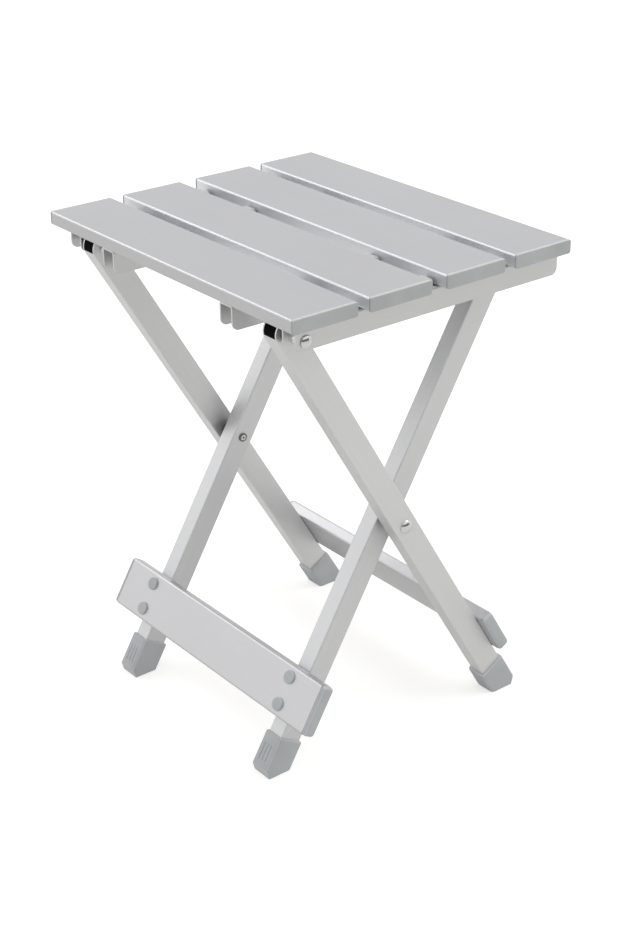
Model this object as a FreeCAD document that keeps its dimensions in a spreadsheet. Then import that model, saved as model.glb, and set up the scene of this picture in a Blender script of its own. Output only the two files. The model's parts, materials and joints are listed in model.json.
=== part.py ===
"""Folding camping stool: four aluminium slats on two seat halves over crossed tube legs.

Millimetres, +Z up. X runs along the slats, -Y is the front. The origin is on the floor under the
middle of the seat. The front seat half hangs on the inner legs and the rear half on the outer legs,
and each half lies on the other's rails, so the halves slide apart as the legs close.
"""
import FreeCAD, Part
import os
import re
import Sketcher

LEFT, RIGHT = -1, 1
FRONT, REAR = -1, 1
OUTER_LEAN, INNER_LEAN = 1, -1
SIDE_NAMES = {LEFT: "left", RIGHT: "right"}
TOUCH = 0.01

SIZES = {
    "seat_height": 404,
    "slat_length": 311,
    "slat_width": 57,
    "slat_thickness": 11,
    "slat_gap": 10.8,
    "middle_gap": 15,
    "slat_wall": 1.2,
    "slat_edge_radius": 1.9,
    "slat_chamber_radius": 0.6,
    "slat_rib_spacing": 18.6,
    "slat_end_rounding": 0.35,
    "slat_cap_thickness": 2,
    "slat_cap_depth": 10,
    "slat_cap_rounding": 0.8,
    "slat_overhang": 11.3,
    "cap_fit": 0.15,
    "cap_seam": 0.4,
    "slat_washer_thickness": 0.3,
    "slat_washer_diameter": 11,
    "slat_rivet_diameter": 4.8,
    "slat_rivet_head_diameter": 8,
    "slat_rivet_head_height": 1.4,
    "slat_rivet_head_rounding": 0.9,
    "slat_rivet_bulb_diameter": 7,
    "slat_rivet_bulb_height": 2.2,
    "slat_rivet_pitch": 36,
    "mandrel_diameter": 2.6,
    "mandrel_depth": 2,
    "rail_width": 15.2,
    "rail_height": 18.6,
    "rail_wall": 1.5,
    "rail_end_radius": 5.5,
    "rail_edge_radius": 2,
    "rail_nose": 9,
    "rail_set_back": 2.3,
    "stop_width": 12,
    "stop_height": 6,
    "stop_radius": 2.5,
    "stop_end_rounding": 1.6,
    "stop_own_gap": 2,
    "stop_clearance": 0.3,
    "stop_peg_diameter": 5,
    "stop_peg_length": 4,
    "hinge_inset": 19.8,
    "hinge_drop": 12,
    "hinge_pin_diameter": 6,
    "hinge_head_diameter": 9.8,
    "hinge_head_height": 2.4,
    "hinge_tail_diameter": 9,
    "hinge_tail_height": 1.8,
    "cross_pin_diameter": 6,
    "cross_head_diameter": 11.5,
    "cross_head_height": 3,
    "cross_tail_diameter": 4.6,
    "cross_tail_height": 0.9,
    "cross_ring_diameter": 7.6,
    "cross_ring_thickness": 0.7,
    "tail_bore_diameter": 2.4,
    "tail_bore_depth": 3,
    "head_edge": 0.7,
    "spacer_diameter": 13,
    "outer_hinge_gap": 4.8,
    "inner_hinge_gap": 3.7,
    "leg_gap": 6.3,
    "bush_diameter": 10,
    "running_clearance": 0.05,
    "axial_play": 0.2,
    "pivot_height": 192.5,
    "tube_width": 15.3,
    "tube_depth": 21,
    "tube_wall": 1.3,
    "tube_corner_radius": 1,
    "tube_inner_radius": 0.5,
    "plug_fit": 0.3,
    "plug_seat": 3,
    "plug_depth": 14,
    "foot_length": 31,
    "foot_side_wall": 2,
    "foot_heel_wall": 2.3,
    "foot_toe_wall": 2.2,
    "foot_toe_height": 9,
    "foot_toe_draft": 2.5,
    "foot_tube_gap": 10,
    "foot_fit": 0.05,
    "foot_edge_radius": 2.6,
    "foot_rim_radius": 1.2,
    "foot_groove_drop": 9,
    "foot_groove_width": 1,
    "foot_groove_depth": 0.35,
    "foot_groove_pitch": 3.8,
    "foot_groove_length": 14,
    "plank_width": 42,
    "plank_thickness": 11,
    "plank_wall": 1.2,
    "plank_edge_radius": 1.8,
    "plank_foot_gap": 15.3,
    "plank_overhang": 9.6,
    "plank_cap_thickness": 4.2,
    "plank_cap_clearance": 1,
    "plank_cap_corner_radius": 3,
    "plank_cap_rounding": 2.6,
    "plank_rivet_pitch": 23.2,
    "plank_rivet_diameter": 4.8,
    "plank_rivet_head_diameter": 9,
    "plank_rivet_head_height": 0.9,
    "plank_rivet_tail_diameter": 8,
    "plank_rivet_tail_height": 1.6,
    "rivet_cap_diameter": 10.8,
    "rivet_cap_height": 1.8,
    "rivet_cap_rounding": 0.9,
}

# Places that follow from the sizes: heights of the seat's layers, and the leg's lean and reach.
FORMULAS = {
    "slat_floor": "seat_height - slat_thickness",
    "rail_top": "slat_floor - slat_washer_thickness",
    "hinge_height": "rail_top - hinge_drop",
    "seat_depth": "4 * slat_width + 2 * slat_gap + middle_gap",
    "middle_slat_offset": "(middle_gap + slat_width) / 2",
    "edge_slat_offset": "middle_slat_offset + slat_width + slat_gap",
    "hinge_spread": "seat_depth / 2 - hinge_inset",
    "outer_rail_offset": "slat_length / 2 - slat_overhang - rail_width / 2",
    "outer_leg_offset": "outer_rail_offset - rail_width / 2 - outer_hinge_gap - tube_width / 2",
    "inner_leg_offset": "outer_leg_offset - tube_width - leg_gap",
    "inner_rail_offset": "inner_leg_offset - tube_width / 2 - inner_hinge_gap - rail_width / 2",
    "plank_length": "2 * outer_leg_offset + tube_width + 2 * plank_overhang",
    "plank_grip": "plank_overhang + tube_width / 2 - plank_rivet_diameter / 2",
    "plank_cap_depth": "plank_grip - plank_cap_thickness - plank_cap_clearance",
    "lean": "atan2(hinge_spread; hinge_height - pivot_height)",
    "hinge_reach": "sqrt(hinge_spread ^ 2 + (hinge_height - pivot_height) ^ 2)",
    "floor_reach": "pivot_height / cos(lean)",
    "foot_heel": "-tube_depth / 2 - foot_heel_wall",
    "foot_toe": "tube_depth / 2 + foot_toe_wall",
    "foot_top": "foot_length - floor_reach",
    "plank_drop": "-foot_top - plank_foot_gap - plank_width / 2",
    "toe_top": "foot_toe_height / cos(lean) - floor_reach - foot_toe * tan(lean)",
    "toe_stand": "foot_toe * cos(lean) - toe_top * sin(lean) - foot_toe_draft",
    "plank_face": "tube_depth / 2 + plank_thickness",
}

doc = FreeCAD.newDocument("folding_camping_stool")
sheet = doc.addObject("Spreadsheet::Sheet", "Size")
for row, (alias, value) in enumerate(SIZES.items(), start=1):
    sheet.set(f"A{row}", alias)
    sheet.set(f"B{row}", str(value))
    sheet.setAlias(f"B{row}", alias)
for row, (alias, formula) in enumerate(FORMULAS.items(), start=len(SIZES) + 1):
    sheet.set(f"A{row}", alias)
    sheet.set(f"B{row}", "=" + formula)
    sheet.setAlias(f"B{row}", alias)
doc.recompute()

ALIAS = re.compile(r"\b(" + "|".join([*SIZES, *FORMULAS]) + r")\b")
parts = []


def cell(formula):
    """The formula with each size written as the sheet's own cell."""
    return ALIAS.sub(r"Size.\1", str(formula))


def value(formula):
    """What the formula comes to with the sheet's present sizes."""
    return float(sheet.evalExpression(cell(formula)))


# Sketch helpers: every coordinate and radius is a formula bound to the sheet.

def add_body(label, x="0", y="0", z="0", lean=0):
    """An empty sub-part at its place, leaning about X with the outer (1) or inner (-1) legs."""
    body = doc.addObject("PartDesign::Body", label)
    body.Label = label
    body.AllowCompound = True
    turn = f"rotation(vector(1; 0; 0); {lean} * lean)"
    body.setExpression("Placement", cell(f"placement(vector({x}; {y}; {z}); {turn})"))
    parts.append(body)
    return body


def add_sketch(body, role, offset="0"):
    """A sketch on one of the body's own planes, moved along that plane's normal."""
    sketch = body.newObject("Sketcher::SketchObject", body.Label + "_sketch")
    plane = next(item for item in body.Origin.OriginFeatures if item.Role == role)
    sketch.AttachmentSupport = [(plane, "")]
    sketch.MapMode = "FlatFace"
    sketch.setExpression("AttachmentOffset.Base.z", cell(offset))
    return sketch


def bind(sketch, kind, *reference, to):
    """A dimension of the sketch that follows a formula."""
    index = sketch.addConstraint(Sketcher.Constraint(kind, *reference, value(to)))
    sketch.setExpression(f"Constraints[{index}]", cell(to))


def add_circles(sketch, centres, radius):
    for x, y in centres:
        centre = FreeCAD.Vector(value(x), value(y), 0)
        ring = sketch.addGeometry(Part.Circle(centre, FreeCAD.Vector(0, 0, 1), value(radius)))
        bind(sketch, "DistanceX", -1, 1, ring, 3, to=x)
        bind(sketch, "DistanceY", -1, 1, ring, 3, to=y)
        bind(sketch, "Radius", ring, to=radius)


def add_polygon(sketch, corners):
    """Straight sides through corners that are each given from the sketch's origin."""
    points = [FreeCAD.Vector(value(x), value(y), 0) for x, y in corners]
    sides = [sketch.addGeometry(Part.LineSegment(a, b)) for a, b in zip(points, points[1:] + points[:1])]
    for side, after, (x, y) in zip(sides, sides[1:] + sides[:1], corners[1:] + corners[:1]):
        sketch.addConstraint(Sketcher.Constraint("Coincident", side, 2, after, 1))
        bind(sketch, "DistanceX", -1, 1, after, 1, to=x)
        bind(sketch, "DistanceY", -1, 1, after, 1, to=y)


def add_outline(sketch, corners):
    """Level and upright sides in turn, the first one level; corners are (x, y, radius), 0 for sharp."""
    count = len(corners)
    points = [FreeCAD.Vector(value(x), value(y), 0) for x, y, _ in corners]
    radii = [value(radius) for _, _, radius in corners]
    sides = []
    for k, (start, end) in enumerate(zip(points, points[1:] + points[:1])):
        along = (end - start).normalize()
        a, b = start + along * radii[k], end - along * radii[(k + 1) % count]
        side = sketch.addGeometry(Part.LineSegment(a, b))
        level = k % 2 == 0
        sketch.addConstraint(Sketcher.Constraint("Horizontal" if level else "Vertical", side))
        bind(sketch, "DistanceY" if level else "DistanceX", -1, 1, side, 1, to=corners[k][1 if level else 0])
        sides.append((side, a, b))
    for k, (x, y, radius) in enumerate(corners):
        before, _, a = sides[k - 1]
        after, b, _ = sides[k]
        if not radii[k]:
            sketch.addConstraint(Sketcher.Constraint("Coincident", before, 2, after, 1))
            continue
        centre = a + b - points[k]
        middle = centre + (points[k] - centre).normalize() * radii[k]
        arc = sketch.addGeometry(Part.Arc(a, middle, b))
        ends = (1, 2) if sketch.getPoint(arc, 1).distanceToPoint(a) < sketch.getPoint(arc, 2).distanceToPoint(a) \
            else (2, 1)
        sketch.addConstraint(Sketcher.Constraint("Tangent", before, 2, arc, ends[0]))
        sketch.addConstraint(Sketcher.Constraint("Tangent", after, 1, arc, ends[1]))
        bind(sketch, "Radius", arc, to=radius)


def add_arched(sketch, corners, centre_height, through):
    """Straight sides through the corners, closed from the last to the first by an arc.

    The arc's centre is at centre_height, and it bulges towards the point named through.
    """
    points = [FreeCAD.Vector(value(x), value(y), 0) for x, y in corners]
    sides = [sketch.addGeometry(Part.LineSegment(a, b)) for a, b in zip(points, points[1:])]
    bulge = FreeCAD.Vector(value(through[0]), value(through[1]), 0)
    arc = sketch.addGeometry(Part.Arc(points[-1], bulge, points[0]))
    start_gap = sketch.getPoint(arc, 1).distanceToPoint(points[-1])
    end_gap = sketch.getPoint(arc, 2).distanceToPoint(points[-1])
    near, far = (1, 2) if start_gap < end_gap else (2, 1)
    for before, after in zip(sides, sides[1:]):
        sketch.addConstraint(Sketcher.Constraint("Coincident", before, 2, after, 1))
    sketch.addConstraint(Sketcher.Constraint("Coincident", sides[-1], 2, arc, near))
    sketch.addConstraint(Sketcher.Constraint("Coincident", sides[0], 1, arc, far))
    bind(sketch, "DistanceY", -1, 1, arc, 3, to=centre_height)
    ends = [(side, 1) for side in sides] + [(sides[-1], 2)]
    for (side, end), (x, y) in zip(ends, corners):
        bind(sketch, "DistanceX", -1, 1, side, end, to=x)
        bind(sketch, "DistanceY", -1, 1, side, end, to=y)


def add_rounded_box(sketch, x0, x1, y0, y1, radius):
    add_outline(sketch, [(x0, y0, radius), (x1, y0, radius), (x1, y1, radius), (x0, y1, radius)])


def pad(body, sketch, length, symmetric=False, backwards=False):
    feature = body.newObject("PartDesign::Pad", body.Label + "_pad")
    feature.Profile = sketch
    feature.setExpression("Length", cell(length))
    feature.SideType = "Symmetric" if symmetric else "One side"
    feature.Reversed = backwards
    doc.recompute()
    return feature


def pocket(body, sketch, length=None, symmetric=False, backwards=False):
    """A cut as deep as length, or right through; it has to take some of the solid away."""
    before = body.Shape.Volume
    feature = body.newObject("PartDesign::Pocket", body.Label + "_pocket")
    feature.Profile = sketch
    if length is None:
        feature.Type = "ThroughAll"
    else:
        feature.setExpression("Length", cell(length))
    feature.SideType = "Symmetric" if symmetric else "One side"
    feature.Reversed = backwards
    doc.recompute()
    if body.Shape.Volume >= before:
        raise RuntimeError(f"a cut in {body.Label} takes nothing away")
    return feature


def round_edges(body, radius, chosen):
    """A fillet on the edges of the finished shape for which chosen(edge) holds."""
    base = body.Tip
    names = [f"Edge{k}" for k, edge in enumerate(base.Shape.Edges, start=1) if chosen(edge)]
    feature = body.newObject("PartDesign::Fillet", body.Label + "_fillet")
    feature.Base = (base, names)
    feature.setExpression("Radius", cell(radius))
    doc.recompute()
    return feature


def mirror_sides(body):
    """The body's last feature again on the other side of the stool."""
    original = body.Tip
    plane = next(item for item in body.Origin.OriginFeatures if item.Role == "YZ_Plane")
    feature = body.newObject("PartDesign::Mirrored", body.Label + "_mirror")
    feature.Originals = [original]
    feature.MirrorPlane = (plane, [""])
    body.Tip = feature
    doc.recompute()


def lies_at(axis, place):
    """Picks the edges whose whole length lies in one plane across an axis ("x", "y" or "z")."""
    def chosen(edge):
        points = [vertex.Point for vertex in edge.Vertexes] + [edge.CenterOfMass]
        return all(abs(getattr(point, axis) - place) < TOUCH for point in points)
    return chosen


# The seat: each half is two slats riveted to a pair of rails.

def slat_chambers(half_width, floor, roof, wall, rib_spacing):
    """Left, middle and right hollow of a slat as (y0, y1, z0, z1) between its walls and two ribs."""
    rib = f"{rib_spacing} / 2"
    spans = [(f"{wall} - {half_width}", f"-{rib} - {wall} / 2"), (f"{wall} / 2 - {rib}", f"{rib} - {wall} / 2"),
             (f"{rib} + {wall} / 2", f"{half_width} - {wall}")]
    return [(y0, y1, f"{floor} + {wall}", f"{roof} - {wall}") for y0, y1 in spans]


def slat_outline(sketch):
    add_rounded_box(sketch, "-slat_width / 2", "slat_width / 2", "0", "slat_thickness", "slat_edge_radius")


def make_slat(label, y, rail_offset):
    """A hollow extruded slat with two ribs and the rivet holes for its two rails."""
    body = add_body(label, y=y, z="slat_floor")
    section = add_sketch(body, "YZ_Plane")
    slat_outline(section)
    for y0, y1, z0, z1 in slat_chambers("slat_width / 2", "0", "slat_thickness", "slat_wall", "slat_rib_spacing"):
        add_rounded_box(section, y0, y1, z0, z1, "slat_chamber_radius")
    pad(body, section, "slat_length - 2 * slat_cap_thickness", symmetric=True)
    end, side, top = value("slat_length / 2 - slat_cap_thickness"), value("slat_width / 2"), value("slat_thickness")

    def on_cut_end(edge):
        outside = all(point.z < TOUCH or point.z > top - TOUCH or abs(point.y) > side - TOUCH
                      for point in (vertex.Point for vertex in edge.Vertexes))
        return outside and (lies_at("x", end)(edge) or lies_at("x", -end)(edge))

    round_edges(body, "slat_end_rounding", on_cut_end)
    holes = add_sketch(body, "XY_Plane")
    centres = [(f"{side} * {rail_offset}", f"{end} * slat_rivet_pitch / 2") for side in (LEFT, RIGHT)
               for end in (FRONT, REAR)]
    add_circles(holes, centres, "slat_rivet_diameter / 2")
    pocket(body, holes, "slat_wall", backwards=True)


def make_slat_cap(label, y, side):
    """A moulded end cap: a flange as large as the slat and three tongues in its hollows."""
    body = add_body(label, x=f"{side} * (slat_length / 2 - slat_cap_thickness)", y=y, z="slat_floor")
    flange = add_sketch(body, "YZ_Plane")
    slat_outline(flange)
    pad(body, flange, "slat_cap_thickness", backwards=side == LEFT)
    round_edges(body, "slat_cap_rounding", lies_at("x", side * value("slat_cap_thickness")))
    round_edges(body, "cap_seam", lies_at("x", 0))
    tongues = add_sketch(body, "YZ_Plane")
    for y0, y1, z0, z1 in slat_chambers("slat_width / 2", "0", "slat_thickness", "slat_wall", "slat_rib_spacing"):
        add_rounded_box(tongues, f"{y0} + cap_fit", f"{y1} - cap_fit", f"{z0} + cap_fit", f"{z1} - cap_fit",
                        "slat_chamber_radius")
    pad(body, tongues, "slat_cap_depth", backwards=side == RIGHT)


def make_rail(label, side, offset, half):
    """An inverted channel: hinged at one end to the legs and carrying its half's slats at the other."""
    body = add_body(label, x=f"{side} * {offset}", z="rail_top")
    hinge_end = f"{-half} * (hinge_spread + rail_nose)"
    free_end = f"{half} * (seat_depth / 2 - rail_set_back)"
    flank = add_sketch(body, "YZ_Plane")
    add_outline(flank, [(hinge_end, "0", "0"), (free_end, "0", "0"), (free_end, "-rail_height", "rail_end_radius"),
                        (hinge_end, "-rail_height", "rail_end_radius")])
    pad(body, flank, "rail_width", symmetric=True)
    edge = value("rail_width / 2")
    round_edges(body, "rail_edge_radius",
                lambda line: lies_at("z", 0)(line) and (lies_at("x", edge)(line) or lies_at("x", -edge)(line)))
    trough = add_sketch(body, "XZ_Plane")
    inside = "(rail_width / 2 - rail_wall)"
    add_outline(trough, [(f"-{inside}", "-rail_wall", "rail_edge_radius - rail_wall"),
                         (inside, "-rail_wall", "rail_edge_radius - rail_wall"),
                         (inside, "-rail_height - rail_wall", "0"), (f"-{inside}", "-rail_height - rail_wall", "0")])
    pocket(body, trough, "2 * seat_depth", symmetric=True)
    bore = add_sketch(body, "YZ_Plane")
    add_circles(bore, [(f"{-half} * hinge_spread", "-hinge_drop")], "hinge_pin_diameter / 2 + running_clearance")
    pocket(body, bore, "2 * rail_width", symmetric=True)
    holes = add_sketch(body, "XY_Plane")
    add_circles(holes, [("0", y) for _, y in slat_rivet_centres("0", half)[:4]], "slat_rivet_diameter / 2")
    add_circles(holes, [("0", "0")], "stop_peg_diameter / 2")
    pocket(body, holes, "2 * rail_wall")


def slat_rivet_centres(rail_offset, half):
    """The rivets of one seat half: two in each slat on each rail, the left rail's first."""
    return [(f"{side} * {rail_offset}", f"{half} * {slat} + {end} * slat_rivet_pitch / 2") for side in (LEFT, RIGHT)
            for slat in ("middle_slat_offset", "edge_slat_offset") for end in (FRONT, REAR)]


def make_slat_rivets(label, rail_offset, half):
    """Blind rivets: a head in the rail's channel, a shank, and a bulb inside the slat."""
    body = add_body(label, z="rail_top")
    centres = slat_rivet_centres(rail_offset, half)
    grip = "(slat_washer_thickness + slat_wall)"
    for diameter, floor, height in [("slat_rivet_diameter", "-rail_wall", f"rail_wall + {grip}"),
                                    ("slat_rivet_head_diameter", "-rail_wall - slat_rivet_head_height",
                                     "slat_rivet_head_height"),
                                    ("slat_rivet_bulb_diameter", grip, "slat_rivet_bulb_height")]:
        discs = add_sketch(body, "XY_Plane", floor)
        add_circles(discs, centres, f"{diameter} / 2")
        pad(body, discs, height)
    head_floor = "-rail_wall - slat_rivet_head_height"
    round_edges(body, "slat_rivet_head_rounding", lies_at("z", value(head_floor)))
    mandrels = add_sketch(body, "XY_Plane", head_floor)
    add_circles(mandrels, centres, "mandrel_diameter / 2")
    pocket(body, mandrels, "mandrel_depth", backwards=True)


def make_slat_washers(label, rail_offset, half):
    body = add_body(label, z="rail_top")
    rings = add_sketch(body, "XY_Plane")
    add_circles(rings, slat_rivet_centres(rail_offset, half), "slat_washer_diameter / 2")
    add_circles(rings, slat_rivet_centres(rail_offset, half), "slat_rivet_diameter / 2")
    pad(body, rings, "slat_washer_thickness")


def make_stop_block(label, side, offset, half):
    """A round-topped buffer between the two middle slats, which stops the legs from spreading."""
    body = add_body(label, x=f"{side} * {offset}", z="rail_top")
    flank = add_sketch(body, "YZ_Plane")
    own, other = f"{half} * (middle_gap / 2 - stop_own_gap)", f"{half} * (stop_clearance - middle_gap / 2)"
    add_outline(flank, [(own, "0", "0"), (other, "0", "0"), (other, "stop_height", "stop_radius"),
                        (own, "stop_height", "stop_radius")])
    pad(body, flank, "stop_width", symmetric=True)
    end = value("stop_width / 2")
    round_edges(body, "stop_end_rounding", lambda line: line.CenterOfMass.z > TOUCH and (
        lies_at("x", end)(line) or lies_at("x", -end)(line)))
    peg = add_sketch(body, "XY_Plane")
    add_circles(peg, [("0", "0")], "stop_peg_diameter / 2")
    pad(body, peg, "stop_peg_length", backwards=True)


def make_rail_bushes(label, offset, half):
    """Sleeves inside the channels, so that the hinge rivets don't pinch the flanges."""
    body = add_body(label, y=f"{-half} * hinge_spread", z="hinge_height")
    rings = add_sketch(body, "YZ_Plane", offset)
    add_circles(rings, [("0", "0")], "bush_diameter / 2")
    add_circles(rings, [("0", "0")], "hinge_pin_diameter / 2 + running_clearance")
    pad(body, rings, "rail_width - 2 * rail_wall", symmetric=True)
    mirror_sides(body)


# Hinge and pivot pins, and the spacers on them.

def make_pin(label, side, y, z, tail_face, head_face, name, outward):
    """A rivet along X: a domed head beyond head_face, and a hollow tail beyond tail_face.

    outward is 1 where the head is on the stool's outer side, and -1 where it is on the inner side.
    """
    body = add_body(label, y=y, z=z)
    way = side * outward
    tail_root, head_root = f"{side} * ({tail_face})", f"{side} * ({head_face})"
    tail_end = f"{tail_root} - {way} * {name}_tail_height"
    bore_end = f"{tail_end} + {way} * tail_bore_depth"
    shank, tail, dome = f"{name}_pin_diameter / 2", f"{name}_tail_diameter / 2", f"{name}_head_diameter / 2"
    rise = f"({name}_head_height - head_edge)"
    section = add_sketch(body, "XZ_Plane")
    corners = [(f"{head_root} + {way} * {name}_head_height", "0"), (bore_end, "0"),
               (bore_end, "tail_bore_diameter / 2"), (tail_end, "tail_bore_diameter / 2"), (tail_end, tail),
               (tail_root, tail), (tail_root, shank), (head_root, shank), (head_root, dome),
               (f"{head_root} + {way} * head_edge", dome)]
    add_arched(section, corners, "0", (f"{head_root} + {way} * (head_edge + 3 * {rise} / 4)", f"{dome} / 2"))
    turned = body.newObject("PartDesign::Revolution", label + "_turned")
    turned.Profile = section
    turned.ReferenceAxis = (section, ["H_Axis"])
    doc.recompute()


def make_rings(label, y, z, inner_face, outer_face, diameter, bore):
    """A ring between two faces on the right of the stool, and its twin on the left."""
    body = add_body(label, y=y, z=z)
    rings = add_sketch(body, "YZ_Plane", inner_face)
    add_circles(rings, [("0", "0")], f"{diameter} / 2")
    add_circles(rings, [("0", "0")], f"{bore} / 2")
    pad(body, rings, f"{outer_face} - ({inner_face})")
    mirror_sides(body)


# The legs: crossed rectangular tubes in frames that lean about the cross pivot.
# In a leg's own frame Z runs up along the leg, and the foot's toe and the plank are towards lean * Y.

def leg_body(label, lean, x="0"):
    return add_body(label, x=x, z="pivot_height", lean=lean)


def plank_rivet_centres(*offsets):
    return [(x, f"-plank_drop + {end} * plank_rivet_pitch / 2") for x in offsets for end in (-1, 1)]


def make_leg(label, side, offset, lean, pivot_bore):
    """A tube whose slotted top end is round about its hinge, bored for its pins and rivets."""
    body = leg_body(label, lean, f"{side} * {offset}")
    half_width, half_depth = "tube_width / 2", "tube_depth / 2"
    bottom = "(foot_tube_gap - floor_reach)"
    section = add_sketch(body, "XY_Plane", bottom)
    add_rounded_box(section, f"-{half_width}", half_width, f"-{half_depth}", half_depth, "tube_corner_radius")
    add_rounded_box(section, f"tube_wall - {half_width}", f"{half_width} - tube_wall", f"tube_wall - {half_depth}",
                    f"{half_depth} - tube_wall", "tube_inner_radius")
    pad(body, section, f"hinge_reach + {half_depth} - {bottom}")
    beyond, above = f"({half_depth} + tube_wall)", "hinge_reach + tube_depth"
    waste = add_sketch(body, "YZ_Plane")
    add_arched(waste, [(half_depth, "hinge_reach"), (beyond, "hinge_reach"), (beyond, above), (f"-{beyond}", above),
                       (f"-{beyond}", "hinge_reach"), (f"-{half_depth}", "hinge_reach")],
               "hinge_reach", ("0", f"hinge_reach + {half_depth}"))
    pocket(body, waste, "2 * tube_width", symmetric=True)
    slot = add_sketch(body, "XY_Plane", "hinge_reach + plug_seat")
    add_outline(slot, [(f"tube_wall - {half_width}", f"-{beyond}", "0"), (f"{half_width} - tube_wall", f"-{beyond}", "0"),
                       (f"{half_width} - tube_wall", beyond, "0"), (f"tube_wall - {half_width}", beyond, "0")])
    pocket(body, slot, "tube_depth", backwards=True)
    bore = add_sketch(body, "YZ_Plane")
    add_circles(bore, [("0", "hinge_reach")], "hinge_pin_diameter / 2")
    add_circles(bore, [("0", "0")], pivot_bore)
    pocket(body, bore, "2 * tube_width", symmetric=True)
    holes = add_sketch(body, "XZ_Plane")
    add_circles(holes, plank_rivet_centres("0"), "plank_rivet_diameter / 2")
    pocket(body, holes, "tube_depth", backwards=lean == INNER_LEAN)


def make_leg_plug(label, side, offset, lean):
    """A moulded plug that fills the tube's slotted top end, round about the hinge."""
    body = leg_body(label, lean, f"{side} * {offset}")
    half_depth, inside = "tube_depth / 2", "(tube_depth / 2 - tube_wall - plug_fit)"
    width = "tube_width - 2 * tube_wall - 2 * plug_fit"
    head = add_sketch(body, "YZ_Plane")
    seat = f"sqrt(({half_depth}) ^ 2 - plug_seat ^ 2)"
    add_arched(head, [(f"-{seat}", "hinge_reach + plug_seat"), (seat, "hinge_reach + plug_seat")],
               "hinge_reach", ("0", f"hinge_reach + {half_depth}"))
    pad(body, head, width, symmetric=True)
    shank = add_sketch(body, "YZ_Plane")
    add_outline(shank, [(f"-{inside}", "hinge_reach - plug_depth", "0"), (inside, "hinge_reach - plug_depth", "0"),
                        (inside, "hinge_reach + plug_seat", "0"), (f"-{inside}", "hinge_reach + plug_seat", "0")])
    pad(body, shank, width, symmetric=True)
    bore = add_sketch(body, "YZ_Plane")
    add_circles(bore, [("0", "hinge_reach")], "hinge_pin_diameter / 2")
    pocket(body, bore, "2 * tube_width", symmetric=True)


def make_foot(label, side, offset, lean):
    """A moulded sleeve on the tube's end, cut flat by the floor, with a blunt toe and a grooved front."""
    body = leg_body(label, lean, f"{side} * {offset}")

    def across(reach):
        return f"{lean} * ({reach})"

    flank = add_sketch(body, "YZ_Plane")
    add_polygon(flank, [(across("foot_heel"), "foot_top"),
                        (across("foot_heel"), "-floor_reach - foot_heel * tan(lean)"),
                        (across("toe_stand * cos(lean) - pivot_height * sin(lean)"),
                         "-toe_stand * sin(lean) - pivot_height * cos(lean)"),
                        (across("foot_toe"), "toe_top"), (across("foot_toe"), "foot_top")])
    pad(body, flank, "tube_width + 2 * foot_side_wall", symmetric=True)
    edge = value("tube_width / 2 + foot_side_wall")
    sides = (lean * value("foot_heel"), lean * value("foot_toe"))
    round_edges(body, "foot_edge_radius", lambda line: any(
        lies_at("x", x)(line) and lies_at("y", y)(line) for x in (-edge, edge) for y in sides))
    round_edges(body, "foot_rim_radius", lies_at("z", value("foot_top")))
    socket = add_sketch(body, "XY_Plane", "foot_top")
    half_width, half_depth = "(tube_width / 2 + foot_fit)", "(tube_depth / 2 + foot_fit)"
    add_rounded_box(socket, f"-{half_width}", half_width, f"-{half_depth}", half_depth, "tube_corner_radius")
    pocket(body, socket, "foot_length - foot_tube_gap")
    grooves = add_sketch(body, "XY_Plane", "foot_top - foot_groove_drop")
    for place in (-1, 0, 1):
        middle, half = f"{place} * foot_groove_pitch", "foot_groove_width / 2"
        floor, open_air = across("foot_toe - foot_groove_depth"), across("foot_toe + foot_toe_wall")
        add_outline(grooves, [(f"{middle} - {half}", floor, "0"), (f"{middle} + {half}", floor, "0"),
                              (f"{middle} + {half}", open_air, "0"), (f"{middle} - {half}", open_air, "0")])
    pocket(body, grooves, "foot_groove_length")


def plank_chambers(lean, fit="0"):
    """The two hollows of a plank, either side of its middle rib, as (y0, y1, z0, z1)."""
    y0 = f"{lean} * (tube_depth / 2 + plank_wall + {fit})"
    y1 = f"{lean} * (plank_face - plank_wall - {fit})"
    edge = f"(plank_width / 2 - plank_wall - {fit})"
    rib = f"(plank_wall / 2 + {fit})"
    return [(y0, y1, f"-plank_drop - {edge}", f"-plank_drop - {rib}"),
            (y0, y1, f"-plank_drop + {rib}", f"-plank_drop + {edge}")]


def plank_outline(sketch, lean, corner_radius):
    add_rounded_box(sketch, f"{lean} * tube_depth / 2", f"{lean} * plank_face", "-plank_drop - plank_width / 2",
                    "plank_width / 2 - plank_drop", corner_radius)


def make_plank(label, offset, lean):
    """A hollow flat stretcher across the outside of a pair of legs."""
    body = leg_body(label, lean)
    section = add_sketch(body, "YZ_Plane")
    plank_outline(section, lean, "plank_edge_radius")
    for y0, y1, z0, z1 in plank_chambers(lean):
        add_outline(section, [(y0, z0, "0"), (y1, z0, "0"), (y1, z1, "0"), (y0, z1, "0")])
    pad(body, section, "plank_length - 2 * plank_cap_thickness", symmetric=True)
    holes = add_sketch(body, "XZ_Plane")
    add_circles(holes, plank_rivet_centres(f"-{offset}", offset), "plank_rivet_diameter / 2")
    pocket(body, holes, "2 * plank_face", backwards=lean == INNER_LEAN)


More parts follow.
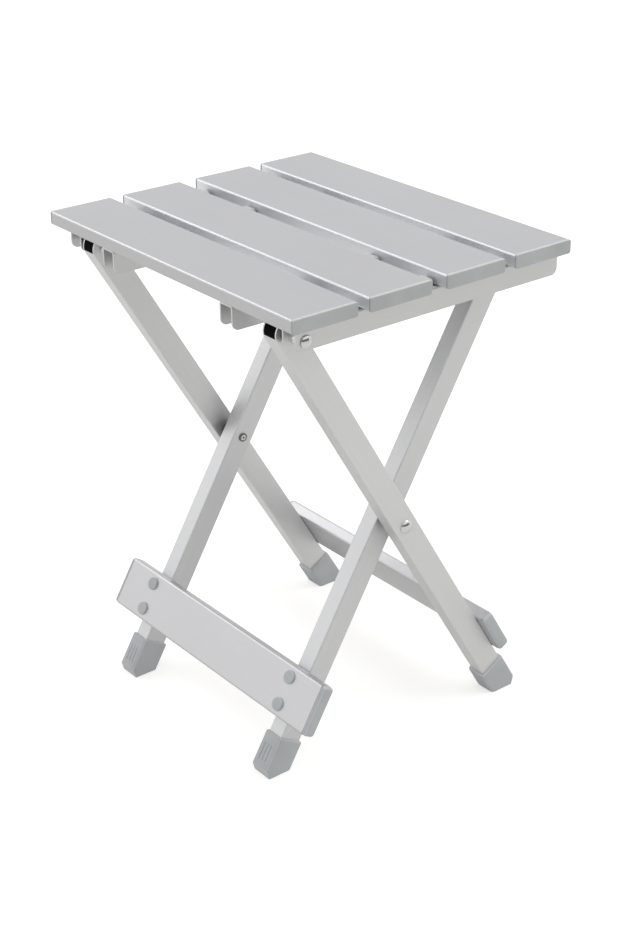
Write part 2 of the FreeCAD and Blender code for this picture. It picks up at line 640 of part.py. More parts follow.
def make_plank_cap(label, side, lean):
    body = leg_body(label, lean, f"{side} * (plank_length / 2 - plank_cap_thickness)")
    flange = add_sketch(body, "YZ_Plane")
    plank_outline(flange, lean, "plank_cap_corner_radius")
    pad(body, flange, "plank_cap_thickness", backwards=side == LEFT)
    round_edges(body, "plank_cap_rounding", lies_at("x", side * value("plank_cap_thickness")))
    round_edges(body, "cap_seam", lies_at("x", 0))
    tongues = add_sketch(body, "YZ_Plane")
    for y0, y1, z0, z1 in plank_chambers(lean, "cap_fit"):
        add_outline(tongues, [(y0, z0, "0"), (y1, z0, "0"), (y1, z1, "0"), (y0, z1, "0")])
    pad(body, tongues, "plank_cap_depth", backwards=side == RIGHT)


def pad_outward(body, lean, centres, diameter, start, length):
    """Discs that grow from a depth in the leg's frame towards the plank's outer side."""
    discs = add_sketch(body, "XZ_Plane", f"{-lean} * ({start})")
    add_circles(discs, centres, f"{diameter} / 2")
    pad(body, discs, length, backwards=lean == OUTER_LEAN)


def make_plank_rivets(label, offset, lean):
    """Rivets from inside the tubes through the plank, with flat heads on its outer face."""
    body = leg_body(label, lean)
    centres = plank_rivet_centres(f"-{offset}", offset)
    wall_inside = "(tube_depth / 2 - tube_wall)"
    pad_outward(body, lean, centres, "plank_rivet_diameter", wall_inside, f"plank_face - {wall_inside}")
    pad_outward(body, lean, centres, "plank_rivet_tail_diameter", f"{wall_inside} - plank_rivet_tail_height",
                "plank_rivet_tail_height")
    pad_outward(body, lean, centres, "plank_rivet_head_diameter", "plank_face", "plank_rivet_head_height")


def make_rivet_caps(label, offset, lean):
    """Round caps that snap over the rivet heads."""
    body = leg_body(label, lean)
    centres = plank_rivet_centres(f"-{offset}", offset)
    pad_outward(body, lean, centres, "rivet_cap_diameter", "plank_face", "rivet_cap_height")
    round_edges(body, "rivet_cap_rounding", lies_at("y", lean * value("plank_face + rivet_cap_height")))
    hollows = add_sketch(body, "XZ_Plane", f"{-lean} * plank_face")
    add_circles(hollows, centres, "plank_rivet_head_diameter / 2")
    pocket(body, hollows, "plank_rivet_head_height", backwards=lean == INNER_LEAN)


# The assembly. The rear half's rails are outermost and hinge at the front; the front half's are inside.

HALVES = {FRONT: ("front", "inner_rail", "inner_rail_offset"), REAR: ("rear", "outer_rail", "outer_rail_offset")}
for half, (half_name, rail_name, rail_offset) in HALVES.items():
    for place in ("middle", "edge"):
        slat_y = f"{half} * {place}_slat_offset"
        make_slat(f"{half_name}_{place}_slat", slat_y, rail_offset)
        for side, side_name in SIDE_NAMES.items():
            make_slat_cap(f"{half_name}_{place}_slat_cap_{side_name}", slat_y, side)
    for side, side_name in SIDE_NAMES.items():
        make_rail(f"{rail_name}_{side_name}", side, rail_offset, half)
        make_stop_block(f"{rail_name}_stop_{side_name}", side, rail_offset, half)
    make_slat_rivets(f"{half_name}_slat_rivets", rail_offset, half)
    make_slat_washers(f"{half_name}_slat_washers", rail_offset, half)
    make_rail_bushes(f"{rail_name}_bushes", rail_offset, half)

TIGHT_PIVOT, RUNNING_PIVOT = "cross_pin_diameter / 2", "cross_pin_diameter / 2 + running_clearance"
FRAMES = {"outer": ("rear", "outer_leg_offset", OUTER_LEAN, TIGHT_PIVOT),
          "inner": ("front", "inner_leg_offset", INNER_LEAN, RUNNING_PIVOT)}
for frame_name, (end_name, leg_offset, lean, pivot_bore) in FRAMES.items():
    for side, side_name in SIDE_NAMES.items():
        make_leg(f"{frame_name}_leg_{side_name}", side, leg_offset, lean, pivot_bore)
        make_leg_plug(f"{frame_name}_leg_plug_{side_name}", side, leg_offset, lean)
        make_foot(f"{end_name}_foot_{side_name}", side, leg_offset, lean)
        make_plank_cap(f"{end_name}_stretcher_cap_{side_name}", side, lean)
    make_plank(f"{end_name}_stretcher", leg_offset, lean)
    make_plank_rivets(f"{end_name}_stretcher_rivets", leg_offset, lean)
make_rivet_caps("front_stretcher_rivet_caps", "inner_leg_offset", INNER_LEAN)

OUTER_LEG_INSIDE, OUTER_LEG_OUTSIDE = "outer_leg_offset - tube_width / 2", "outer_leg_offset + tube_width / 2"
INNER_LEG_INSIDE, INNER_LEG_OUTSIDE = "inner_leg_offset - tube_width / 2", "inner_leg_offset + tube_width / 2"
OUTER_RAIL_INSIDE, OUTER_RAIL_OUTSIDE = "outer_rail_offset - rail_width / 2", "outer_rail_offset + rail_width / 2"
INNER_RAIL_INSIDE, INNER_RAIL_OUTSIDE = "inner_rail_offset - rail_width / 2", "inner_rail_offset + rail_width / 2"
for side, side_name in SIDE_NAMES.items():
    make_pin(f"front_hinge_rivet_{side_name}", side, "-hinge_spread", "hinge_height", OUTER_LEG_INSIDE,
             f"{OUTER_RAIL_OUTSIDE} + axial_play", "hinge", outward=1)
    make_pin(f"rear_hinge_rivet_{side_name}", side, "hinge_spread", "hinge_height", INNER_LEG_OUTSIDE,
             f"{INNER_RAIL_INSIDE} - axial_play", "hinge", outward=-1)
    make_pin(f"cross_rivet_{side_name}", side, "0", "pivot_height", f"{INNER_LEG_INSIDE} - axial_play",
             OUTER_LEG_OUTSIDE, "cross", outward=1)
make_rings("front_hinge_spacers", "-hinge_spread", "hinge_height", OUTER_LEG_OUTSIDE,
           f"{OUTER_RAIL_INSIDE} - axial_play", "spacer_diameter", "hinge_pin_diameter")
make_rings("rear_hinge_spacers", "hinge_spread", "hinge_height", f"{INNER_RAIL_OUTSIDE} + axial_play",
           INNER_LEG_INSIDE, "spacer_diameter", "hinge_pin_diameter")
make_rings("cross_spacers", "0", "pivot_height", f"{INNER_LEG_OUTSIDE} + axial_play", OUTER_LEG_INSIDE,
           "spacer_diameter", "cross_pin_diameter")
make_rings("cross_retaining_rings", "0", "pivot_height", f"{INNER_LEG_INSIDE} - axial_play - cross_ring_thickness",
           f"{INNER_LEG_INSIDE} - axial_play", "cross_ring_diameter", "cross_tail_diameter")

doc.recompute()
for item in doc.Objects:
    if {"Invalid", "Error"} & set(item.State):
        raise RuntimeError(f"{item.Label} failed: {item.State}")
for body in parts:
    if body.Shape.isNull() or not body.Shape.isValid() or not body.Shape.Solids:
        raise RuntimeError(f"{body.Label} has no sound shape")

os.makedirs("parts", exist_ok=True)
for body in parts:
    body.Shape.exportStep(f"parts/{body.Label}.step")
print(len(parts), "sub-parts written")
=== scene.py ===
# %% [markdown]
# # A folding camping stool
# The stool is a small piece of light metalwork: four hollow aluminium slats, channel rails, crossed
# tube legs, plank stretchers, and moulded plastic on every cut end. The frame that is loaded here holds
# all of those pieces at their real size, in metres, each riding on the body that carries it. They could be
# modelled again in Blender, but every one is rigid and already has its right shape. So what is left for
# Blender is how they look: the finishes, the light and the camera.

# %% Load the frame
import json
import math

import bpy
from mathutils import Matrix, Vector


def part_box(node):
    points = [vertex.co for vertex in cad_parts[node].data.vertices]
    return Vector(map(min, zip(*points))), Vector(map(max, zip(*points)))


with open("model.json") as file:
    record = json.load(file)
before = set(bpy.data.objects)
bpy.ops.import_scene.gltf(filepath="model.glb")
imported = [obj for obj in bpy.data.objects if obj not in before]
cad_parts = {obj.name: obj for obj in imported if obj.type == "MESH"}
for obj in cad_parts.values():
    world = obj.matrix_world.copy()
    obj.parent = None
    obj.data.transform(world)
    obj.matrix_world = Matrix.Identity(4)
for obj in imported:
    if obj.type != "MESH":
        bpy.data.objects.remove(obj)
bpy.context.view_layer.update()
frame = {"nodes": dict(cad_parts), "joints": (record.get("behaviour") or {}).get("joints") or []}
nodes = frame["nodes"]

# %% [markdown]
# ## The camera
# The photograph was taken from the front right, a little above the seat. A camera could be turned by eye
# until the picture matches, but its place was worked out instead from where the slat corners, feet and
# rivets fall in the picture. So the angles below are measured, and no shift is needed.

# %% Camera
PICTURE_HEIGHT = 931
FOCAL_PIXELS = 1749.11
SENSOR = 36.0
CAMERA_PLACE = Vector((1.013391, -0.797695, 0.824813))
CAMERA_AZIMUTH = math.radians(51.63)
CAMERA_ELEVATION = math.radians(25.91)
CAMERA_ROLL = math.radians(-0.46)

back = Vector((math.sin(CAMERA_AZIMUTH) * math.cos(CAMERA_ELEVATION),
               -math.cos(CAMERA_AZIMUTH) * math.cos(CAMERA_ELEVATION),
               math.sin(CAMERA_ELEVATION)))
level_right = Vector((math.cos(CAMERA_AZIMUTH), math.sin(CAMERA_AZIMUTH), 0))
level_up = back.cross(level_right)
right = math.cos(CAMERA_ROLL) * level_right + math.sin(CAMERA_ROLL) * level_up
up = math.cos(CAMERA_ROLL) * level_up - math.sin(CAMERA_ROLL) * level_right

camera_data = bpy.data.cameras.new("camera")
camera_data.sensor_width = SENSOR
camera_data.lens = FOCAL_PIXELS * SENSOR / PICTURE_HEIGHT
camera = bpy.data.objects.new("camera", camera_data)
camera.matrix_world = Matrix.Translation(CAMERA_PLACE) @ Matrix((right, up, back)).transposed().to_4x4()
bpy.context.scene.collection.objects.link(camera)
bpy.context.scene.camera = camera
print(f"lens {camera_data.lens:.2f} mm, {CAMERA_PLACE.length:.2f} m from the floor's middle")

# %% [markdown]
# ## Node helpers
# Every finish below is a small node tree. The trees could be written out node by node, but most lines would
# repeat. So one helper starts a material and hands back its shader, and one adds a node and sets its sockets
# by name.

# %% Start a material and add nodes
def add_node(tree, kind, **sockets):
    """Adds a node and sets or links its inputs; a socket's spaces are written as underscores."""
    node = tree.nodes.new(kind)
    for name, given in sockets.items():
        set_socket(tree, node.inputs[name.replace("_", " ")], given)
    return node


def set_socket(tree, socket, given):
    """Links a socket to another node's output, or gives it a plain value."""
    if isinstance(given, bpy.types.NodeSocket):
        tree.links.new(given, socket)
    else:
        socket.default_value = given


def new_finish(name):
    """An empty material with a Principled shader, ready for its sockets."""
    material = bpy.data.materials.new(name)
    material.use_nodes = True
    tree = material.node_tree
    tree.nodes.clear()
    shader = add_node(tree, "ShaderNodeBsdfPrincipled")
    output = add_node(tree, "ShaderNodeOutputMaterial")
    tree.links.new(shader.outputs["BSDF"], output.inputs["Surface"])
    return material, tree, shader


print("helpers:", [helper.__name__ for helper in (add_node, set_socket, new_finish)])

# %% [markdown]
# ## Colours and numbers
# No surface is even, so each finish starts from noise, which is then spread over a range of numbers or tones.
# Images could do the same, but they would need unwrapping and would blur close up. The helpers here make
# noise, spread it, reckon with two numbers and blend two colours.

# %% Noise, ramps, ranges and blends
FIRST_COLOUR, SECOND_COLOUR, BLENDED_COLOUR = 6, 7, 2


def noise(tree, place, per_metre, detail, **sockets):
    """Noise between 0 and 1, with per_metre lumps to the metre."""
    node = add_node(tree, "ShaderNodeTexNoise", Vector=place, Scale=per_metre, Detail=detail, **sockets)
    return node.outputs["Fac"]


def ramp(tree, source, ends, tones):
    """The source as a colour: the first tone up to the first end, the second tone from the other end on."""
    node = add_node(tree, "ShaderNodeValToRGB", Fac=source)
    for element, position, tone in zip(node.color_ramp.elements, ends, tones):
        element.position = position
        element.color = (*tone, 1)
    return node.outputs["Color"]


def remap(tree, source, low, high, start=0.0, end=1.0):
    """The source, held between start and end, spread between low and high."""
    node = add_node(tree, "ShaderNodeMapRange", Value=source,
                    From_Min=start, From_Max=end, To_Min=low, To_Max=high)
    return node.outputs["Result"]


def combine(tree, operation, first, second=0.0):
    """A sum, product or other reckoning of two numbers."""
    node = tree.nodes.new("ShaderNodeMath")
    node.operation = operation
    for socket, given in zip(node.inputs, (first, second)):
        set_socket(tree, socket, given)
    return node.outputs["Value"]


def blend(tree, share, first, plain):
    """The first colour where share is 0, and the plain (r, g, b) where it is 1."""
    node = tree.nodes.new("ShaderNodeMix")
    node.data_type = "RGBA"
    tree.links.new(share, node.inputs["Factor"])
    tree.links.new(first, node.inputs[FIRST_COLOUR])
    node.inputs[SECOND_COLOUR].default_value = (*plain, 1)
    return node.outputs[BLENDED_COLOUR]


def shades(tone, spread_down, spread_up):
    """A darker and a lighter shade of a tone."""
    darker = tuple((1 - spread_down) * part for part in tone)
    lighter = tuple((1 + spread_up) * part for part in tone)
    return darker, lighter


print("helpers:", [helper.__name__ for helper in (noise, ramp, remap, combine, blend, shades)])

# %% [markdown]
# ## Where a point is, and which way it looks
# Wear and dirt sit on certain faces: edges, seams, the faces that hands reach. They could be painted on by
# hand, but these pieces have no unwrapped skin to paint. So a finish asks where a point is and which way it
# looks. Both are measured on the piece itself, so what is painted by them stays put when the piece moves or
# the camera does.

# %% Place and normal on the piece
def own_normal(tree, lean=0):
    """Which way the surface looks, as X, Y and Z along the axes of a piece that leans about X."""
    normal = add_node(tree, "ShaderNodeTexCoord").outputs["Normal"]
    turned = add_node(tree, "ShaderNodeMapping", Vector=normal, Rotation=(-lean, 0, 0))
    turned.vector_type = "VECTOR"
    return add_node(tree, "ShaderNodeSeparateXYZ", Vector=turned.outputs["Vector"]).outputs


def own_place(tree):
    """Where the surface is, as X, Y and Z in the stool's own frame."""
    place = add_node(tree, "ShaderNodeTexCoord").outputs["Object"]
    return add_node(tree, "ShaderNodeSeparateXYZ", Vector=place).outputs


print("helpers:", [helper.__name__ for helper in (own_normal, own_place)])

# %% [markdown]
# ## The white studio
# The stool stands on a white sweep in a studio. A real floor would show white only where it is lit well past
# white, and then the stool would be too bright. So the camera and the metal's reflections see extra white in
# the world and on the floor, while the light that falls on the stool stays plain. A studio also hangs a dark
# card out of view, because a polished rivet head with nothing dark to mirror looks flat. Here the card is a
# dark patch of the world to the right, which only reflections see.

# %% World
WORLD_FILL = 0.75
WORLD_GLOSS = 0.88
CARD_SHADE = 0.1
CARD_LEFT_EDGE = (0.62, 0.72)
CARD_TOP_EDGE = (0.26, 0.36)


def seen_ray(tree, glossy_share):
    """1 for rays from the camera or through glass, glossy_share for mirror rays, 0 for the rest."""
    path = add_node(tree, "ShaderNodeLightPath").outputs
    clear = combine(tree, "MAXIMUM", path["Is Camera Ray"], path["Is Transmission Ray"])
    mirrored = combine(tree, "MULTIPLY", path["Is Glossy Ray"], glossy_share)
    return combine(tree, "MAXIMUM", clear, mirrored)


world = bpy.data.worlds.new("studio")
bpy.context.scene.world = world
world.use_nodes = True
sky = world.node_tree
sky.nodes.clear()
fill_strength = remap(sky, seen_ray(sky, WORLD_GLOSS), WORLD_FILL, 1.0)
direction = add_node(sky, "ShaderNodeTexCoord").outputs["Generated"]
towards = add_node(sky, "ShaderNodeSeparateXYZ", Vector=direction).outputs
to_the_right = remap(sky, towards["X"], 0.0, 1.0, *CARD_LEFT_EDGE)
near_the_ground = remap(sky, towards["Z"], 1.0, 0.0, *CARD_TOP_EDGE)
card = combine(sky, "MULTIPLY", to_the_right, near_the_ground)
mirror_ray = add_node(sky, "ShaderNodeLightPath").outputs["Is Glossy Ray"]
mirrored_card = combine(sky, "MULTIPLY", card, mirror_ray)
carded = combine(sky, "MULTIPLY", fill_strength, remap(sky, mirrored_card, 1.0, CARD_SHADE))
white = add_node(sky, "ShaderNodeBackground", Color=(1, 1, 1, 1), Strength=carded)
sky.links.new(white.outputs[0], add_node(sky, "ShaderNodeOutputWorld").inputs["Surface"])
print("the world fills at", WORLD_FILL)

# %% [markdown]
# ## The floor
# The floor could be left out, with the stool floating on white, but then nothing would hold it down. It is a
# lit surface with a faint grain, so the feet keep their soft shadows, and the same rays as in the world see
# its extra white.

# %% Floor
FLOOR_HALF = 8.0
FLOOR_GLOW = 0.5
FLOOR_GLOSS = 0.38
FLOOR_ROUGHNESS = 0.9
FLOOR_SHEEN = 0.1
FLOOR_GRAIN = 40.0
GRAIN_ENDS = (0.3, 0.7)
FLOOR_DARK = (0.708, 0.70, 0.679)
FLOOR_LIGHT = (0.728, 0.72, 0.699)

floor_mesh = bpy.data.meshes.new("floor")
corners = [(x * FLOOR_HALF, y * FLOOR_HALF, 0) for x, y in ((-1, -1), (1, -1), (1, 1), (-1, 1))]
floor_mesh.from_pydata(corners, [], [(0, 1, 2, 3)])
floor = bpy.data.objects.new("floor", floor_mesh)
bpy.context.scene.collection.objects.link(floor)

floor_finish, tree, shader = new_finish("white_floor")
grain = add_node(tree, "ShaderNodeTexNoise", Scale=FLOOR_GRAIN, Detail=3.0)
floor_tone = ramp(tree, grain.outputs["Fac"], GRAIN_ENDS, (FLOOR_DARK, FLOOR_LIGHT))
tree.links.new(floor_tone, shader.inputs["Base Color"])
shader.inputs["Roughness"].default_value = FLOOR_ROUGHNESS
shader.inputs["Specular IOR Level"].default_value = FLOOR_SHEEN
glow = remap(tree, seen_ray(tree, FLOOR_GLOSS), 0.0, FLOOR_GLOW)
tree.links.new(glow, shader.inputs["Emission Strength"])
shader.inputs["Emission Color"].default_value = (1, 1, 1, 1)
floor_mesh.materials.append(floor_finish)
print("floor", 2 * FLOOR_HALF, "m wide")

# %% [markdown]
# ## The lamps
# Bare bulbs would make small hot spots on brushed metal, so the lamps are large soft boxes, as a product
# photographer hangs them. One high at the right rear lights the slat ends, one high at the left draws the
# bright line along each slat's front edge, and a weak one at the front left opens the stretcher and the legs.

# %% Lamps
STOOL_MIDDLE = Vector((0, 0, 0.22))
SOFTBOXES = [
    ("right_rear_high", (0.9, 1.15, 1.95), (1.6, 1.6), 13),
    ("left_high", (-1.75, -0.75, 1.85), (1.1, 1.1), 8),
    ("front_left", (-2.1, -2.0, 1.0), (2.2, 1.6), 2.6),
]


def add_softbox(name, place, size, watts):
    """A rectangular lamp that faces the stool."""
    lamp_data = bpy.data.lights.new(name, "AREA")
    lamp_data.shape = "RECTANGLE"
    lamp_data.size, lamp_data.size_y = size
    lamp_data.energy = watts
    lamp = bpy.data.objects.new(name, lamp_data)
    lamp.location = place
    lamp.rotation_euler = (STOOL_MIDDLE - Vector(place)).to_track_quat("-Z", "Y").to_euler()
    bpy.context.scene.collection.objects.link(lamp)


for softbox in SOFTBOXES:
    add_softbox(*softbox)
print([light.name for light in bpy.data.lights])

# %% [markdown]
# ## Faces given painted light
# The slats' faces that look at each other across a gap, and the inside of the outer rails' channel, get a
# lighter silver: painted light for the light that bounces into these gaps. A second material on those faces
# would need the meshes to be split, so a number marks them instead: 1 on a lightened face and 0 elsewhere.

# %% Which faces get painted light
SEAT_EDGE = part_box("rear_edge_slat")[1][1]
RAIL_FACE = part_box("outer_rail_right")[1][0]
EDGE_MARGIN = 0.006
FLANGE_MARGIN = 0.002
FLAT_ENOUGH = 0.75
QUITE_FLAT = 0.95


def painted_light_between_slats(tree):
    """Painted light mask: 1 on the slats' upright faces that look across a gap, 0 on the seat's own front and
    rear face.
    """
    sideways = combine(tree, "ABSOLUTE", own_normal(tree)["Y"])
    upright = remap(tree, sideways, 0.0, 1.0, FLAT_ENOUGH, QUITE_FLAT)
    reach = combine(tree, "ABSOLUTE", own_place(tree)["Y"])
    return combine(tree, "MULTIPLY", upright, combine(tree, "LESS_THAN", reach, SEAT_EDGE - EDGE_MARGIN))


def painted_light_in_channel(tree):
    """Painted light mask: 1 on the outer rails' outer flange where it looks into the channel."""
    across = own_place(tree)["X"]
    outward = combine(tree, "MULTIPLY", own_normal(tree)["X"], combine(tree, "SIGN", across))
    inward = remap(tree, outward, 1.0, 0.0, -QUITE_FLAT, -FLAT_ENOUGH)
    reach = combine(tree, "ABSOLUTE", across)
    return combine(tree, "MULTIPLY", inward, combine(tree, "GREATER_THAN", reach, RAIL_FACE - FLANGE_MARGIN))


print(f"seat edge at {SEAT_EDGE:.4f} m, rail face at {RAIL_FACE:.4f} m")

# %% [markdown]
# ## Silver anodised aluminium
# The slats, rails, legs and stretchers are extrusions: drawn through a die, brushed along their length and
# anodised. A plain grey metal would look like plastic foil, and an image of brushed metal would stretch
# over the long pieces. So noise is pulled out along each piece's own length. It moves the tone, the roughness
# and a very fine bump, and a broad, faint cloud keeps the silver from being even. The leg tubes are etched
# more heavily than the slats, so they mirror less and scatter more.

# %% Aluminium finish
# The lighter silver painted on the gap and channel faces, as painted light.
GAP_LIGHT_SILVER = (0.785, 0.795, 0.82)
BRUSH_PER_METRE = (6, 900, 900)
HAIRS_PER_METRE = (40, 4200, 4200)
HAIR_RELIEF = 0.12
HAIR_DEPTH = 0.0003
CLOUDS_PER_METRE = 9.0
CLOUD_SHARE = 0.4
STREAK_ENDS = (0.35, 0.65)
SILVER_SPREAD = 0.03
SMOOTHEST, ROUGHEST = 0.36, 0.50


def aluminium(name, turn, tone, painted_light_faces=None, metal=1.0):
    """Brushed silver; turn is the rotation that brings the piece's length onto X.

    The mask function given after the tone marks faces that get a lighter silver as painted light. A metal
    below
    1 is for a heavier etch, which scatters a share of the light.
    """
    material, tree, shader = new_finish(name)
    place = add_node(tree, "ShaderNodeTexCoord").outputs["Object"]
    laid = add_node(tree, "ShaderNodeMapping", Vector=place, Rotation=turn).outputs["Vector"]
    pulled = add_node(tree, "ShaderNodeMapping", Vector=laid, Scale=BRUSH_PER_METRE).outputs["Vector"]
    brush = noise(tree, pulled, per_metre=1.0, detail=4.0, Roughness=0.65)
    fine = add_node(tree, "ShaderNodeMapping", Vector=laid, Scale=HAIRS_PER_METRE).outputs["Vector"]
    hair = noise(tree, fine, per_metre=1.0, detail=2.0)
    cloud = noise(tree, place, CLOUDS_PER_METRE, detail=3.0)
    streaked = combine(tree, "ADD", combine(tree, "MULTIPLY", cloud, CLOUD_SHARE),
                       combine(tree, "MULTIPLY", brush, 1 - CLOUD_SHARE))
    silver = ramp(tree, streaked, STREAK_ENDS, shades(tone, SILVER_SPREAD, SILVER_SPREAD))
    # Painted light: the marked faces get the lighter silver.
    if painted_light_faces:
        silver = blend(tree, painted_light_faces(tree), silver, GAP_LIGHT_SILVER)
    tree.links.new(silver, shader.inputs["Base Color"])
    tree.links.new(remap(tree, brush, SMOOTHEST, ROUGHEST), shader.inputs["Roughness"])
    bump = add_node(tree, "ShaderNodeBump", Strength=HAIR_RELIEF, Distance=HAIR_DEPTH, Height=hair)
    tree.links.new(bump.outputs["Normal"], shader.inputs["Normal"])
    shader.inputs["Metallic"].default_value = metal
    return material


print("brushed", BRUSH_PER_METRE, "streaks per metre along and across")

# %% [markdown]
# ## Five silvers
# The extrusions come from different dies and baths, so their silvers differ a little. One tone for all would
# make the rails and legs melt into each other where they cross. The streaks have to run along the legs too,
# and how far the legs lean is worked out from where the hinge and cross rivets sit.

# %% Silver of each extrusion
joint_places = {joint["name"]: joint["pos_m"] for joint in frame["joints"]}
hinge = joint_places["rear_seat_hinge"]
pivot = joint_places["leg_fold"]
LEAN = math.atan2(-hinge[1], hinge[2] - pivot[2])
QUARTER = math.pi / 2
ETCHED = 0.8
SLAT_SILVER = (0.55, 0.552, 0.565)
STRETCHER_SILVER = (0.582, 0.582, 0.594)
RAIL_SILVER = (0.638, 0.641, 0.645)
OUTER_LEG_SILVER = (0.70, 0.702, 0.707)
INNER_LEG_SILVER = (0.655, 0.659, 0.668)

# Slats and rails also get painted light on their gap and channel faces.
slat_silver = aluminium("slat_silver", (0, 0, 0), SLAT_SILVER, painted_light_between_slats)
stretcher_silver = aluminium("stretcher_silver", (0, 0, 0), STRETCHER_SILVER)
rail_silver = aluminium("rail_silver", (0, 0, QUARTER), RAIL_SILVER, painted_light_in_channel)
outer_leg_silver = aluminium("outer_leg_silver", (-LEAN, QUARTER, 0), OUTER_LEG_SILVER, metal=ETCHED)
inner_leg_silver = aluminium("inner_leg_silver", (LEAN, QUARTER, 0), INNER_LEG_SILVER, metal=ETCHED)
silvers = (slat_silver, stretcher_silver, rail_silver, outer_leg_silver, inner_leg_silver)
print([made.name for made in silvers])
print(f"legs lean {math.degrees(LEAN):.2f} degrees")

# %% [markdown]
# ## Painted highlights on edges and painted shade in seams
# A moulding's edges and upper faces are painted a little lighter as a painted highlight, and a thin dark line
# of painted shade sits where a cap meets the slat's cut end, stronger at the right end. These could be
# painted by hand, but an edge can be told from a flat face by the way it looks, which is along none of the
# piece's own axes. So the finish finds its own edges.

# %% Where a moulding gets painted highlight or painted shade
EDGE_LOOK = (0.74, 0.84)
TOP_LOOK = (0.7, 0.9)
BESIDE_LOOK = (0.3, 0.6)
# Width of the painted seam shade, and its faintest strength, at the left end.
SEAM_WIDTH = 0.0004
LIGHTEST_SEAM_SHADE = 0.3


def painted_highlight_edges(tree, lean):
    """Painted highlight mask: 1 on rounded edges and on faces that look up along the piece, 0 on its other
    flat faces.
    """
    facing = own_normal(tree, lean)
    sizes = [combine(tree, "ABSOLUTE", facing[axis]) for axis in "XYZ"]
    flat = combine(tree, "MAXIMUM", combine(tree, "MAXIMUM", sizes[0], sizes[1]), sizes[2])
    edge = remap(tree, flat, 1.0, 0.0, *EDGE_LOOK)
    return combine(tree, "MAXIMUM", edge, remap(tree, facing["Z"], 0.0, 1.0, *TOP_LOOK))


def painted_seam_shade(tree, seam):
    """Painted shade mask: up to 1 in the narrow groove beside a cut end at seam metres from the middle, but
    not on top.
    """
    along = own_place(tree)["X"]
    groove = combine(tree, "LESS_THAN", combine(tree, "ABSOLUTE", along), seam + SEAM_WIDTH)
    beside = remap(tree, own_normal(tree)["Z"], 1.0, 0.0, *BESIDE_LOOK)
    amount = remap(tree, along, LIGHTEST_SEAM_SHADE, 1.0, start=-seam, end=seam)
    return combine(tree, "MULTIPLY", combine(tree, "MULTIPLY", groove, beside), amount)


print(f"seams {SEAM_WIDTH * 1000:.1f} mm wide")

# %% [markdown]
# ## Moulded plastic
# Mouldings leave the mould with a fine sparked texture and a colour that is never quite even. A flat colour
# would do from afar, but plastic with no texture looks wet. So each gets a fine bump, a changing roughness
# and a faint cloud, and some also get the painted highlight and the painted shade from the last step.

# %% Moulded finish
# The lighter grey of the painted highlight on edges and upper faces, and how patchy it is.
HIGHLIGHT_GREY = (0.60, 0.612, 0.618)
FAINTEST_HIGHLIGHT = 0.6
HIGHLIGHT_PATCHES = (0.35, 0.6)
# The near black of the painted shade in the cap seams.
SEAM_SHADE = (0.02, 0.02, 0.02)
SPARK_SIZE = 0.0012
SPARK_RELIEF = 0.5
SPARK_DEPTH = 0.00004
SMOOTHER, ROUGHER = 0.06, 0.08
MOTTLE_PER_METRE = 35.0
MOTTLE_ENDS = (0.3, 0.7)
DARKER, LIGHTER = 0.07, 0.05


def moulded(name, tone, roughness, gloss=0.5, lean=None, seam=None):
    """Plastic with a fine mould texture and a faint cloud in its colour.

    Where lean is given, edges and upper faces get a lighter painted highlight; where seam is given, its
    groove gets a dark painted shade.
    """
    material, tree, shader = new_finish(name)
    place = add_node(tree, "ShaderNodeTexCoord").outputs["Object"]
    spark = noise(tree, place, 1 / SPARK_SIZE, detail=3.0)
    mottle = noise(tree, place, MOTTLE_PER_METRE, detail=2.0)
    colour = ramp(tree, mottle, MOTTLE_ENDS, shades(tone, DARKER, LIGHTER))
    # Painted highlight: edges and upper faces lighter, in patches.
    if lean is not None:
        patchy = remap(tree, spark, FAINTEST_HIGHLIGHT, 1.0, *HIGHLIGHT_PATCHES)
        colour = blend(tree, combine(tree, "MULTIPLY", painted_highlight_edges(tree, lean), patchy), colour, HIGHLIGHT_GREY)
    # Painted shade: a dark line in the seam groove.
    if seam is not None:
        colour = blend(tree, painted_seam_shade(tree, seam), colour, SEAM_SHADE)
    tree.links.new(colour, shader.inputs["Base Color"])
    sparked = remap(tree, spark, roughness - SMOOTHER, roughness + ROUGHER)
    tree.links.new(sparked, shader.inputs["Roughness"])
    bump = add_node(tree, "ShaderNodeBump", Strength=SPARK_RELIEF, Distance=SPARK_DEPTH, Height=spark)
    tree.links.new(bump.outputs["Normal"], shader.inputs["Normal"])
    shader.inputs["Specular IOR Level"].default_value = gloss
    return material


print(f"sparks {SPARK_SIZE * 1000:.1f} mm apart")

# %% [markdown]
# ## Six plastics
# The end caps, feet and rivet caps are grey, and the ones on the legs lean with them, so their painted
# highlight does too.
# The plugs in the leg tops are black. The stop blocks and washers are natural nylon, and the rings between
# moving faces are nylon painted near black, as painted shade for the narrow dark gap around them. One grey
# for all would lose the small dark gaps and pale blocks by which the eye tells the pieces apart.

# %% Plastic of each moulding
CAP_GREY = (0.45, 0.463, 0.47)
FOOT_GREY = (0.475, 0.496, 0.512)
GREY_ROUGHNESS = 0.46
PLUG_BLACK = (0.003, 0.003, 0.003)
NATURAL_NYLON = (0.56, 0.565, 0.57)
# Near black on the spacer rings: painted shade for the dark gap where they sit.
GAP_SHADE_NYLON = (0.07, 0.07, 0.072)
slat_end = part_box("front_edge_slat")[1][0]

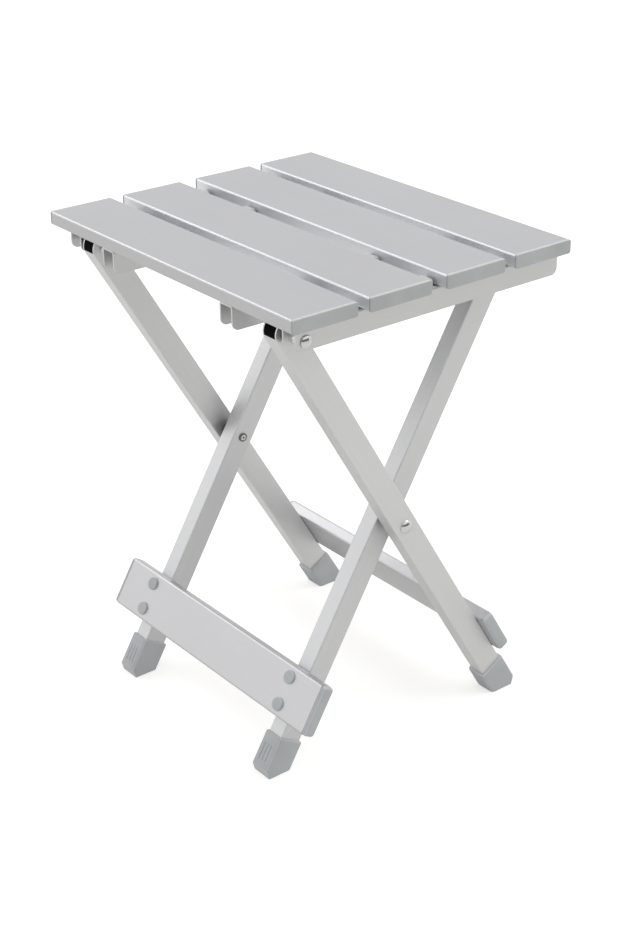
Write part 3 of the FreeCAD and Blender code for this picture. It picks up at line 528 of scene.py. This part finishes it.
# The greys get a painted highlight on edges and upper faces; the slat caps also get painted shade in their
# seam.
slat_cap_grey = moulded("slat_cap_grey", CAP_GREY, GREY_ROUGHNESS, lean=0, seam=slat_end)
rear_grey = moulded("rear_grey", FOOT_GREY, GREY_ROUGHNESS, lean=LEAN)
front_grey = moulded("front_grey", FOOT_GREY, GREY_ROUGHNESS, lean=-LEAN)
black_plastic = moulded("black_plastic", PLUG_BLACK, roughness=0.7, gloss=0.03)
nylon = moulded("nylon", NATURAL_NYLON, roughness=0.4)
gap_shade_nylon = moulded("gap_shade_nylon", GAP_SHADE_NYLON, roughness=0.45)
plastics = (slat_cap_grey, rear_grey, front_grey, black_plastic, nylon, gap_shade_nylon)
print([made.name for made in plastics])
print(f"slats are cut {slat_end:.4f} m from the middle")

# %% [markdown]
# ## Steel
# The rivets are zinc plated steel, brighter and smoother than the anodised metal, and the rings that keep the
# cross rivets in place are blackened. A perfect mirror would look like a hole, so fine specks change the
# roughness and a small cloud changes the tone.

# %% Steel finishes
SPECKS_PER_METRE = 900.0
SPECK_ROUGHNESS = (0.10, 0.26)
TARNISH_PER_METRE = 120.0
TARNISH_ENDS = (0.3, 0.7)
ZINC_TONES = ((0.62, 0.63, 0.64), (0.72, 0.72, 0.72))
BLACKENED_TONES = ((0.13, 0.13, 0.133), (0.18, 0.18, 0.183))


def turned_steel(name, tones):
    """Plated steel with specks and a faint cloud between two tones."""
    material, tree, shader = new_finish(name)
    place = add_node(tree, "ShaderNodeTexCoord").outputs["Object"]
    speck = noise(tree, place, SPECKS_PER_METRE, detail=4.0)
    tarnish = noise(tree, place, TARNISH_PER_METRE, detail=2.0)
    tree.links.new(ramp(tree, tarnish, TARNISH_ENDS, tones), shader.inputs["Base Color"])
    tree.links.new(remap(tree, speck, *SPECK_ROUGHNESS), shader.inputs["Roughness"])
    shader.inputs["Metallic"].default_value = 1.0
    return material


rivet_steel = turned_steel("rivet_steel", ZINC_TONES)
blackened_steel = turned_steel("blackened_steel", BLACKENED_TONES)
print([made.name for made in (rivet_steel, blackened_steel)])

# %% [markdown]
# ## Dress the pieces
# Each piece keeps the shape it has in the frame and takes its finish by name. A table from words in the
# names to finishes is shorter than a line for each piece, and a piece that no row fits is an error.

# %% Finishes by name
FINISHES = [
    ("plug", black_plastic),
    ("washers", nylon),
    ("spacers", gap_shade_nylon),
    ("slat_cap", slat_cap_grey),
    ("rear_stretcher_cap", rear_grey),
    ("rear_foot", rear_grey),
    ("front_stretcher_cap", front_grey),
    ("front_foot", front_grey),
    ("rivet_caps", front_grey),
    ("stop", nylon),
    ("retaining", blackened_steel),
    ("rivet", rivet_steel),
    ("bushes", rivet_steel),
    ("outer_leg", outer_leg_silver),
    ("inner_leg", inner_leg_silver),
    ("rail", rail_silver),
    ("slat", slat_silver),
    ("stretcher", stretcher_silver),
]
dressed = {}
for name, piece in nodes.items():
    finish = next(finish for word, finish in FINISHES if word in name)
    piece.data.materials.clear()
    piece.data.materials.append(finish)
    dressed[finish.name] = dressed.get(finish.name, 0) + 1
print(dressed)

# %% [markdown]
# ## Finish
# Colours are shown as they are written.

# %% View settings
bpy.context.scene.view_settings.view_transform = "Standard"
